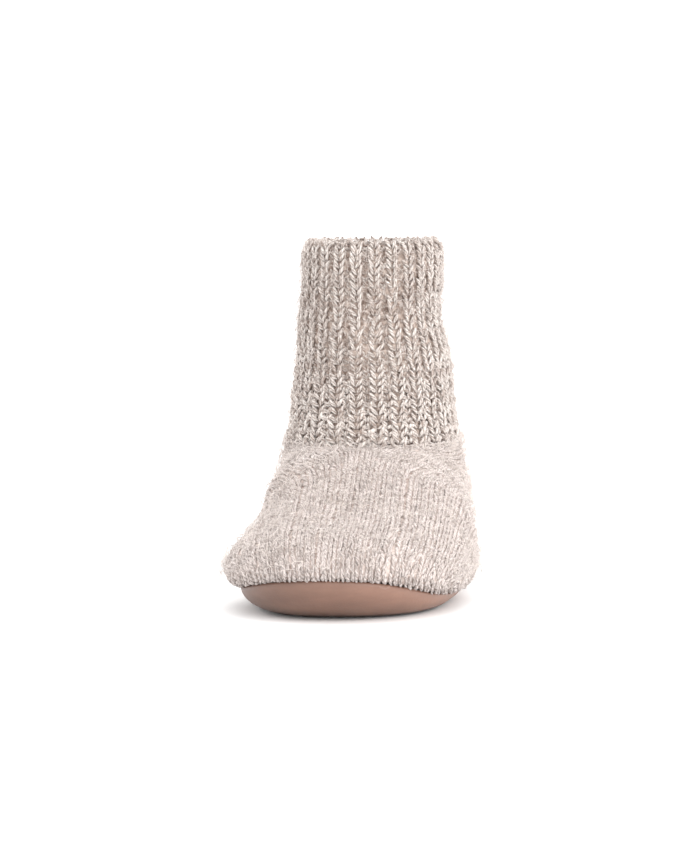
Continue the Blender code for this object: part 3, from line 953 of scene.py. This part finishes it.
def strand_tree():
    """Geometry nodes that lay a bowed strand, or a mirrored pair of them, on each point."""
    inputs = {"Geometry": "Geometry", "Low": "Vector", "Middle": "Vector", "High": "Vector"}
    inputs.update({"Yarn": "Float", "Thin Ends": "Float", "Pair": "Bool"})
    inputs.update({"Sides": "Int", "Rings": "Int", "Wool": "Material"})
    outputs = {"Geometry": "Geometry"}
    tree, given, out = node_group("bowed_strands", "GeometryNodeTree", inputs, outputs)

    def keep(geometry, label, value, kind="FLOAT"):
        held = {"Geometry": geometry, "Name": label, "Value": value}
        return add_node(tree, "GeometryNodeStoreNamedAttribute", held, data_type=kind).outputs[0]

    def named(label):
        kind, held = "GeometryNodeInputNamedAttribute", {"Name": label}
        return add_node(tree, kind, held, data_type="FLOAT_VECTOR").outputs["Attribute"]

    share = add_node(tree, "GeometryNodeSplineParameter").outputs["Factor"]
    round_yarn = {"Radius": 1.0, "Resolution": given["Sides"]}
    circle = add_node(tree, "GeometryNodeCurvePrimitiveCircle", round_yarn)
    angle = maths(tree, "MULTIPLY", share, 2 * math.pi)
    turned = {0: maths(tree, "COSINE", angle), 1: maths(tree, "SINE", angle)}
    turned = add_node(tree, "ShaderNodeCombineXYZ", turned).outputs[0]
    profile = keep(circle.outputs[0], "around", turned, "FLOAT_VECTOR")
    ends = maths(tree, "ABSOLUTE", maths(tree, "MULTIPLY_ADD", share, 2.0, -1.0))
    taper = maths(tree, "MULTIPLY", maths(tree, "POWER", ends, 2.4), given["Thin Ends"])
    radius = maths(tree, "MULTIPLY", given["Yarn"], 0.5)
    join = add_node(tree, "GeometryNodeJoinGeometry")
    for hand in (1, -1):
        bow = {"Resolution": given["Rings"]}
        for label, socket in (("Low", "Start"), ("Middle", "Middle"), ("High", "End")):
            flip = {0: given[label], 1: (hand, 1.0, 1.0)}
            flip = add_node(tree, "ShaderNodeVectorMath", flip, operation="MULTIPLY")
            bow[socket] = flip.outputs[0]
        bow = add_node(tree, "GeometryNodeCurveQuadraticBezier", bow)
        sweep = {
            "Curve": keep(bow.outputs[0], "along", share),
            "Profile Curve": profile,
            "Scale": maths(tree, "MULTIPLY", radius, maths(tree, "SUBTRACT", 1.0, taper)),
            "Fill Caps": True,
        }
        strand = add_node(tree, "GeometryNodeCurveToMesh", sweep).outputs[0]
        if hand < 0:
            second = {"Switch": given["Pair"], "True": strand}
            strand = add_node(tree, "GeometryNodeSwitch", second).outputs[0]
        wire(tree, join, {0: strand})
    spot = add_node(tree, "GeometryNodeInputPosition").outputs[0]
    height = add_node(tree, "ShaderNodeSeparateXYZ", {0: spot}).outputs["Z"]
    # Painted shade: the depth attribute tells the wool how far below the stitch's face each part of
    # the strand lies, and the wool is painted darker there.
    face_level = maths(tree, "MULTIPLY", given["Yarn"], 0.05)
    deep_level = maths(tree, "MULTIPLY", given["Yarn"], -0.75)
    sunk = keep(join.outputs[0], "depth", ranged(tree, height, face_level, deep_level))
    axes = {"primary_axis": "Z", "secondary_axis": "Y"}
    lie = {0: named("face"), 1: named("rise")}
    lay = {
        "Points": given["Geometry"],
        "Instance": add_node(tree, "GeometryNodeSetShadeSmooth", {0: sunk}).outputs[0],
        "Rotation": add_node(tree, "FunctionNodeAxesToRotation", lie, **axes).outputs[0],
        "Scale": named("gauge"),
    }
    lay = add_node(tree, "GeometryNodeInstanceOnPoints", lay).outputs[0]
    last = add_node(tree, "GeometryNodeRealizeInstances", {0: lay}).outputs[0]
    for label in ("face", "rise", "gauge"):
        last = add_node(tree, "GeometryNodeRemoveAttribute", {0: last, "Name": label}).outputs[0]
    dye = {"Geometry": last, "Material": given["Wool"]}
    wire(tree, out, {0: add_node(tree, "GeometryNodeSetMaterial", dye).outputs[0]})
    return tree


bowed_strands = strand_tree()


def lay_strands(name, stitches, seed, jitter, slot, **values):
    """Runs the strand tree on a cloud of stitches and keeps the result as a plain mesh."""
    piece = point_cloud(name, stitches, seed, jitter)
    modifier = piece.modifiers.new("knit", "NODES")
    modifier.node_group = bowed_strands
    for item in bowed_strands.interface.items_tree:
        label = item.name.lower().replace(" ", "_")
        if item.in_out == "INPUT" and label in values:
            modifier[item.identifier] = values[label]
    bpy.context.view_layer.update()
    shown = piece.evaluated_get(bpy.context.evaluated_depsgraph_get())
    mesh = bpy.data.meshes.new_from_object(shown)
    piece.modifiers.clear()
    piece.data = mesh
    mesh.name = name
    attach(piece, "root")
    return piece


def v_shape(column, course, yarn, point, spread, depth):
    """Control points of a V's right leg, from its point towards the toe to its open end."""
    return {
        "low": (column * point, course * V_LOW, yarn * -depth),
        "middle": (column * (point + spread) * V_BOW, course * V_MIDDLE, yarn * V_STAND),
        "high": (column * spread, course * V_HIGH, yarn * -depth),
        "yarn": yarn,
        "thin_ends": 0.5,
        "pair": True,
    }


foot_yarn = yarn_material("foot_ragg_wool", *FOOT_WOOL, relief=0.0003)
foot_v = v_shape(FOOT_COLUMN, FOOT_COURSE, FOOT_YARN, 0.13, 0.40, 0.45)
foot_knit = foot_stitches()
throat_y = station_y(THROAT_STATION)
heel_part = [s for s in foot_knit if s[0][1] > throat_y]
vamp_part = [s for s in foot_knit if s[0][1] <= throat_y]
for label, part, seed in (
    ("foot_stitches_heel", heel_part, 11),
    ("foot_stitches_outer", [s for s in vamp_part if s[0][0] >= 0], 12),
    ("foot_stitches_inner", [s for s in vamp_part if s[0][0] < 0], 13),
):
    lay_strands(
        label, part, seed, 0.10, "plain_ragg_knit", sides=5, rings=4, wool=foot_yarn, **foot_v
    )


# The ribbed leg. Plain and purl columns lie side by side in turn, so the plain ones stand up as
# ribs and the purl ones sink between them; the top edge rolls over inwards.

SHAFT_HEIGHT = 0.0913
SHAFT_THICK = 0.0046
RIB_COUNT = 31
RIB_COURSE = 0.0031
RIB_YARN = 0.0016
RIB_WIDTH = 0.0057
PURL_YARN = 0.0018
RIM_RADIUS = 0.0023
INSIDE_DEPTH = 0.050
RIM_SLUMP = 0.0012  # how far the soft rim sinks all round
RIM_DIP = 0.0018  # how much lower the rim sits at the front than at the back
RIM_DIP_TURN = -25  # degrees from the front to the rim's lowest place
RIM_TUCK = 0.0014  # how far the last rows draw in
RIM_TUCK_FROM = 0.93  # share of the leg's height from which they do
WALL_DEPTH = (0.0023, 0.0006)  # the wall behind the purl columns, and what it gains at the rim
WALL_WAVE = (0.0007, 0.0004)  # how far it comes forward at a rib, and what that gains at the rim
WALL_INSIDE = 0.0012
RIM_ZONE = (0.060, 0.030)  # distances below the rim over which those gains grow
LOW_ZONE = (0.040, 0.080)  # distances below the rim over which the stitches spread
LOW_RAISE = 0.6  # how much less deep they lie then
LOW_SPREAD = 0.10  # and how much wider they are
LEVEL_STEP = 0.02
# Light, dark, and the painted shade for the parts deep down in a stitch.
LEG_WOOL = ((255, 246, 239), (166, 144, 132), (194, 173, 162))
# Painted shade: the wall behind the ribs is coloured much darker than the yarn, as the shade
# between and behind the stitches.
LEG_BACKS_IN_SHADE = ((188, 172, 162), (120, 104, 95))
SHAFT_LEVELS = 64
SHAFT_AROUND = RIB_COUNT * 8

LegSlack = namedtuple("LegSlack", "angle height high wide depth")
LEG_SLACK = (
    LegSlack(80, 0.080, 0.012, 40, 0.0020),
    LegSlack(-70, 0.050, 0.007, 40, 0.0012),
    LegSlack(-60, 0.036, 0.006, 35, -0.0009),
    LegSlack(60, 0.040, 0.008, 40, 0.0010),
    LegSlack(75, 0.062, 0.007, 35, -0.0008),
    LegSlack(20, 0.028, 0.006, 30, 0.0007),
    LegSlack(180, 0.030, 0.008, 60, 0.0014),
    LegSlack(180, 0.046, 0.007, 60, -0.0012),
)


def leg_ring(share):
    """Places and outward directions evenly spaced round the leg, at this share of its height."""
    oval = shaft_oval(share)
    angles = np.linspace(0, 2 * math.pi, 721)
    fine = np.array([leg_oval(oval, a) for a in angles])
    run = run_along(fine)
    points = at_run(run[-1] * np.arange(SHAFT_AROUND) / SHAFT_AROUND, run, fine)
    along = np.roll(points, -1, axis=0) - np.roll(points, 1, axis=0)
    outward = unit(np.stack([along[:, 1], -along[:, 0], np.zeros(len(along))], axis=1))
    front, back = station_y(oval[0]), station_y(oval[1])
    for i, spot in enumerate(points):
        far = share_of(spot[1], front, back)
        seam = THROAT_HEIGHT * foot_value("height", THROAT_STATION * (1 - far))
        points[i][2] = seam + (THROAT_HEIGHT - seam) * share + HEM_GAP + SHAFT_HEIGHT * share
    return points, outward


def leg_sheet():
    """The leg's outer face as a grid, level by round, with outward directions."""
    rings = [leg_ring(k / SHAFT_LEVELS) for k in range(SHAFT_LEVELS + 1)]
    grid = np.array([ring[0] for ring in rings])
    outward = np.array([ring[1] for ring in rings])
    turn = np.degrees(np.arange(SHAFT_AROUND) / SHAFT_AROUND * 2 * math.pi)
    share = np.linspace(0, 1, SHAFT_LEVELS + 1)[:, None]
    low = 0.5 + 0.5 * np.cos(np.radians(turn - RIM_DIP_TURN))
    grid[:, :, 2] -= (RIM_SLUMP + RIM_DIP * low) * share**2
    tucked = np.clip((share - RIM_TUCK_FROM) / (1 - RIM_TUCK_FROM), 0, 1)
    grid -= outward * (RIM_TUCK * tucked**2)[..., None]
    for dent in LEG_SLACK:
        off = (turn - dent.angle + 180) % 360 - 180
        rise = grid[:, :, 2] - THROAT_HEIGHT - dent.height
        amount = dent.depth * np.exp(-0.5 * (off / dent.wide) ** 2 - 0.5 * (rise / dent.high) ** 2)
        grid += outward * amount[..., None]
    return grid, outward


leg_grid, leg_outward = leg_sheet()


def on_leg(turn, level):
    """A place on the leg's face at a share of the round and a share of its height."""
    a = (turn % 1.0) * SHAFT_AROUND
    i = int(a) % SHAFT_AROUND
    j = (i + 1) % SHAFT_AROUND
    u = a - int(a)
    b = min(max(level, 0.0), 1.0) * SHAFT_LEVELS
    r = min(int(b), SHAFT_LEVELS - 1)
    v = b - r

    def mixed(sheet):
        low = sheet[r, i] * (1 - u) + sheet[r, j] * u
        high = sheet[r + 1, i] * (1 - u) + sheet[r + 1, j] * u
        return low * (1 - v) + high * v

    return mixed(leg_grid), unit(mixed(leg_outward))


def over_rim(turn, run, deep=0.0):
    """Place, normal and upward run of a column at this run past the rim's middle line.

    A negative run is outside and below the rim, a positive one inside and below it.
    """
    half = math.pi / 2 * RIM_RADIUS
    top, outward = on_leg(turn, 1.0)
    up = np.array((0.0, 0.0, 1.0))
    if run < -half:
        level = 1.0 - (-run - half + RIM_RADIUS) / SHAFT_HEIGHT
        place, outward = on_leg(turn, level)
        above, _ = on_leg(turn, level + LEVEL_STEP)
        below, _ = on_leg(turn, level - LEVEL_STEP)
        rise = unit(above - below)
        normal = unit(outward - rise * outward.dot(rise))
        return place - normal * deep, normal, rise
    if run > half:
        level = 1.0 - (run - half + RIM_RADIUS) / SHAFT_HEIGHT
        place, outward = on_leg(turn, level)
        return place - outward * (SHAFT_THICK - deep), -outward, -up
    turned = (run + half) / RIM_RADIUS
    middle = top - outward * RIM_RADIUS - up * RIM_RADIUS
    normal = outward * math.cos(turned) + up * math.sin(turned)
    rise = -outward * math.sin(turned) + up * math.cos(turned)
    return middle + normal * (RIM_RADIUS - deep), normal, rise


def leg_ground():
    """The closed wall behind the ribs, from the seam over the rim and down the inside."""
    half = math.pi / 2 * RIM_RADIUS
    outside = np.linspace(-(SHAFT_HEIGHT - RIM_RADIUS + half), -half, 34)
    bend = np.linspace(-half, half, 8)[1:-1]
    inside = -outside[::-1]
    runs = np.concatenate([outside, bend, inside])
    points = []
    for k in range(SHAFT_AROUND):
        turn = k / SHAFT_AROUND
        wave = 0.5 - 0.5 * math.cos(2 * math.pi * turn * RIB_COUNT)
        for run in runs:
            if run <= half:
                high = share_of(-run, *RIM_ZONE)
                deep = WALL_DEPTH[0] + WALL_DEPTH[1] * high
                deep -= (WALL_WAVE[0] + WALL_WAVE[1] * high) * wave
                if run > -half:
                    share = (run + half) / (2 * half)
                    deep = deep * (1 - share) + WALL_INSIDE * share
            else:
                deep = WALL_INSIDE
            points.append(over_rim(turn, run, deep)[0])
    rows = len(runs)
    faces = []
    for k in range(SHAFT_AROUND):
        j = (k + 1) % SHAFT_AROUND
        for r in range(rows):
            s = (r + 1) % rows
            faces.append((k * rows + r, k * rows + s, j * rows + s, j * rows + r)[::-1])
    return points, faces


leg_ground_wool = ground_material("leg_loop_backs", *LEG_BACKS_IN_SHADE)
leg_wall = mesh_piece("leg_knit_ground", *leg_ground(), leg_ground_wool)
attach(leg_wall, "root")
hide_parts("shaft")


def rib_rounds(first, last, offset, deep, fill, seed, shade):
    """Stitches of every plain or purl column between two runs past the rim.

    They lie less deep and wider towards the seam; shade is painted shade, which darkens them
    towards the rim, where the purl columns sink deepest between the ribs.
    """
    stitches = []
    count = int(round((last - first) / RIB_COURSE))
    tones = streaks(count + 1, RIB_COUNT, seed, run=2)
    for column in range(RIB_COUNT):
        turn = (column + offset) / RIB_COUNT
        for k in range(count + 1):
            run = first + (last - first) * k / count
            low = share_of(-run, *LOW_ZONE)
            place, normal, rise = over_rim(turn, run, deep * (1 - LOW_RAISE * low))
            beside = over_rim(turn + 0.5 / RIB_COUNT, run, deep)[0]
            pitch = 2 * np.linalg.norm(beside - place)
            wide = pitch * (fill + LOW_SPREAD * low * low)
            gauge = (wide / RIB_WIDTH, 1.0, 1.0)
            # Painted shade: the purl bumps' tone is pulled towards the dark wool towards the rim,
            # where they lie deep in the valleys between the ribs.
            tone = min(1.0, tones[k, column] + shade * (1 - low))
            stitches.append((place, normal, rise, gauge, tone))
    return stitches


RIM_HALF = math.pi / 2 * RIM_RADIUS
SEAM_RUN = -(SHAFT_HEIGHT - RIM_RADIUS + RIM_HALF)
leg_yarn = yarn_material("leg_ragg_wool", *LEG_WOOL, relief=0.0006)
rib_v = v_shape(RIB_WIDTH, RIB_COURSE, RIB_YARN, 0.07, 0.46, 0.50)
purl_bump = {
    "low": (0.0003, -0.0014, -0.0006),
    "middle": (0.0010, 0.0002, 0.0007),
    "high": (0.0018, 0.0016, -0.0006),
    "yarn": PURL_YARN,
    "thin_ends": 0.4,
    "pair": True,
}
LegKnit = namedtuple("LegKnit", "first last offset deep fill seed shade")
for label, knit, jitter, rings, shape in (
    (
        "leg_rib_stitches",
        LegKnit(SEAM_RUN - 0.0002, RIM_HALF, 0.5, 0.0010, 0.67, 21, 0.0),
        0.13,
        6,
        rib_v,
    ),
    (
        "leg_inside_stitches",
        LegKnit(RIM_HALF, INSIDE_DEPTH, 0.0, 0.0004, 0.80, 22, 0.0),
        0.10,
        4,
        rib_v,
    ),
    (
        "leg_purl_bumps",
        LegKnit(SEAM_RUN, 0.0, 0.0, 0.0032, 0.72, 23, 0.8),
        0.16,
        4,
        purl_bump,
    ),
):
    held = {"sides": 5, "rings": rings, "wool": leg_yarn, **shape}
    lay_strands(label, rib_rounds(*knit), knit.seed, jitter, "ribbed_ragg_knit", **held)


# Loose fibres. Fine ends of fleece stand out of the spun yarn all over the wool; they soften the
# stitches and give the sock its faint halo.

FIBRE_LENGTH = 0.0058
FIBRE_THICK = 0.00011
FIBRE_STRAY = 0.0020  # how far a fibre may start from the middle of its stitch
FIBRE_TILT = (-0.25, 0.05)
FIBRE_LENGTHS = (0.5, 1.4)
FIBRE_WIDTHS = (0.5, 1.6)
FIBRE_LIFTS = (0.4, 2.2)
FIBRE_TONES = (1.2, 2.2)
FIBRE_WOOL = ((230, 219, 212), (150, 130, 118))
FOOT_FIBRES = 6000
LEG_FIBRES = 4500


def fibre_material(name, light, dark):
    """Single hairs or a thin thread: one colour with some darker ones, and a soft edge."""
    made, tree, shader = new_material(name)
    tone = add_node(tree, "ShaderNodeAttribute", attribute_name="tone").outputs["Fac"]
    looks = {
        "Base Color": two_tones(tree, tone, (0.55, light), (0.80, dark)),
        "Roughness": 1.0,
        "Specular IOR Level": 0.0,
        "Sheen Weight": 0.5,
        "Sheen Roughness": 0.7,
    }
    wire(tree, shader, looks)
    return made


fibre_wool = fibre_material("loose_wool_fibre", *FIBRE_WOOL)


def scattered(spots, count, seed):
    """Fibres lying every way on spots picked at random, some of them lifting off."""
    random = np.random.default_rng(seed)
    fibres = []
    for i in random.choice(len(spots), count):
        place, normal, across = spots[i]
        beside = np.cross(normal, across)
        place = place + across * random.uniform(-FIBRE_STRAY, FIBRE_STRAY)
        place = place + beside * random.uniform(-FIBRE_STRAY, FIBRE_STRAY)
        angle = random.uniform(0, 2 * math.pi)
        lie = across * math.cos(angle) + beside * math.sin(angle)
        tilted = unit(normal + lie * random.uniform(*FIBRE_TILT))
        length = random.uniform(*FIBRE_LENGTHS)
        gauge = (random.uniform(*FIBRE_WIDTHS), length, random.uniform(*FIBRE_LIFTS))
        fibres.append((place, tilted, lie, gauge, random.beta(*FIBRE_TONES)))
    return fibres


foot_spots = [(s[0] + s[1] * 0.0008, s[1], s[2]) for s in foot_knit if s[1][2] > -0.15]
leg_spots = []
for column in range(RIB_COUNT * 2):
    for run in np.arange(SEAM_RUN, RIM_HALF + 0.004, RIB_COURSE):
        spot, normal, upward = over_rim(column / RIB_COUNT / 2, run, 0.0006)
        leg_spots.append((spot, normal, upward))
for label, spots, count, seed, slot in (
    ("foot_loose_fibres", foot_spots, FOOT_FIBRES, 31, "plain_ragg_knit"),
    ("leg_loose_fibres", leg_spots, LEG_FIBRES, 32, "ribbed_ragg_knit"),
):
    lay_strands(
        label,
        scattered(spots, count, seed),
        seed,
        0.0,
        slot,
        low=(0.0, -FIBRE_LENGTH / 2, -0.0004),
        middle=(0.0016, 0.0, 0.0013),
        high=(-0.0006, FIBRE_LENGTH / 2, 0.0010),
        yarn=FIBRE_THICK,
        thin_ends=0.6,
        pair=False,
        sides=3,
        rings=3,
        wool=fibre_wool,
    )


# The end of the sewing thread. The knit is sewn to the leather with a thin brown thread, and one
# short loop of it hangs out under the hem, right of the toe's middle in the picture.

THREAD_X = 0.0138
THREAD_THICK = 0.0004
THREAD_REACH = 0.0020
THREAD_OUT = 0.0030  # how far the thread stands off the hem
THREAD_DROP = 0.0004
thread_brown = fibre_material("brown_sewing_thread", (128, 92, 76), (104, 72, 58))
hem_front = foot_grid[:SOLE_TOE_STEPS, 2]
thread_row = int(np.argmin(np.abs(hem_front[:, 0] - THREAD_X)))
thread_face = unit(np.array((0.1, -1.0, 0.0)))
thread_spot = foot_grid[thread_row, 2] + thread_face * THREAD_OUT + (0.0, 0.0, -THREAD_DROP)
lay_strands(
    "hem_thread_loop",
    [(thread_spot, thread_face, (0.0, 0.0, -1.0), (1.0, 1.0, 1.0), 0.3)],
    41,
    0.0,
    "plain_ragg_knit",
    low=(-THREAD_REACH, 0.0, 0.0),
    middle=(0.0, 0.0020, 0.0006),
    high=(THREAD_REACH, 0.0002, 0.0),
    yarn=THREAD_THICK,
    thin_ends=0.3,
    pair=False,
    sides=6,
    rings=12,
    wool=thread_brown,
)


# Studio. A plain white floor and backdrop with even light all round, three soft suns from the
# front and the right, and the camera low in front of the toe as in the picture.

FLOOR_SIZE = 60.0
TARGET = Vector((-0.0084, -0.055, 0.0678))
CAMERA_YAW = 3.6
CAMERA_RISE = 3.5
CAMERA_DISTANCE = 1.4
CAMERA_FOCUS_PX = 3175.0
PICTURE_WIDTH_PX = 700.0


def studio_floor():
    made, tree, shader = new_material("white_paper_floor")
    looks = {"Base Color": (0.90, 0.90, 0.90, 1.0), "Roughness": 1.0, "Specular IOR Level": 0.0}
    wire(tree, shader, looks)
    half = FLOOR_SIZE / 2
    corners = [(-half, -half, 0.0), (half, -half, 0.0), (half, half, 0.0), (-half, half, 0.0)]
    return mesh_piece("studio_floor", corners, [(0, 1, 2, 3)], made)


floor = studio_floor()


def studio_sun(name, direction, strength, softness):
    """A far soft light that shines along a direction."""
    lamp = bpy.data.lights.new(name, "SUN")
    lamp.energy = strength
    lamp.angle = math.radians(softness)
    holder = bpy.data.objects.new(name, lamp)
    bpy.context.scene.collection.objects.link(holder)
    holder.rotation_euler = Vector(direction).to_track_quat("-Z", "Y").to_euler()


studio_sun("key_light", (-0.75, 0.50, -0.50), 1.0, 35.0)
studio_sun("front_light", (-0.10, 1.0, -0.25), 0.7, 60.0)
studio_sun("low_light", (-0.85, 0.55, -0.03), 0.9, 20.0)

world = bpy.data.worlds.new("studio_backdrop")
world.use_nodes = True
world.node_tree.nodes["Background"].inputs["Color"].default_value = (1.0, 1.0, 1.0, 1.0)
world.node_tree.nodes["Background"].inputs["Strength"].default_value = 1.75
bpy.context.scene.world = world
bpy.context.scene.view_settings.view_transform = "Standard"
bpy.context.scene.view_settings.look = "None"

lens = bpy.data.cameras.new("picture_camera")
lens.sensor_fit = "HORIZONTAL"
lens.sensor_width = 36.0
lens.lens = CAMERA_FOCUS_PX / PICTURE_WIDTH_PX * lens.sensor_width
lens.clip_start = 0.05
lens.clip_end = 100.0
camera = bpy.data.objects.new("picture_camera", lens)
bpy.context.scene.collection.objects.link(camera)
yaw, rise = math.radians(CAMERA_YAW), math.radians(CAMERA_RISE)
toward = Vector((math.sin(yaw) * math.cos(rise), -math.cos(yaw) * math.cos(rise), math.sin(rise)))
camera.location = TARGET + toward * CAMERA_DISTANCE
camera.rotation_euler = (-toward).to_track_quat("-Z", "Y").to_euler()
bpy.context.scene.camera = camera
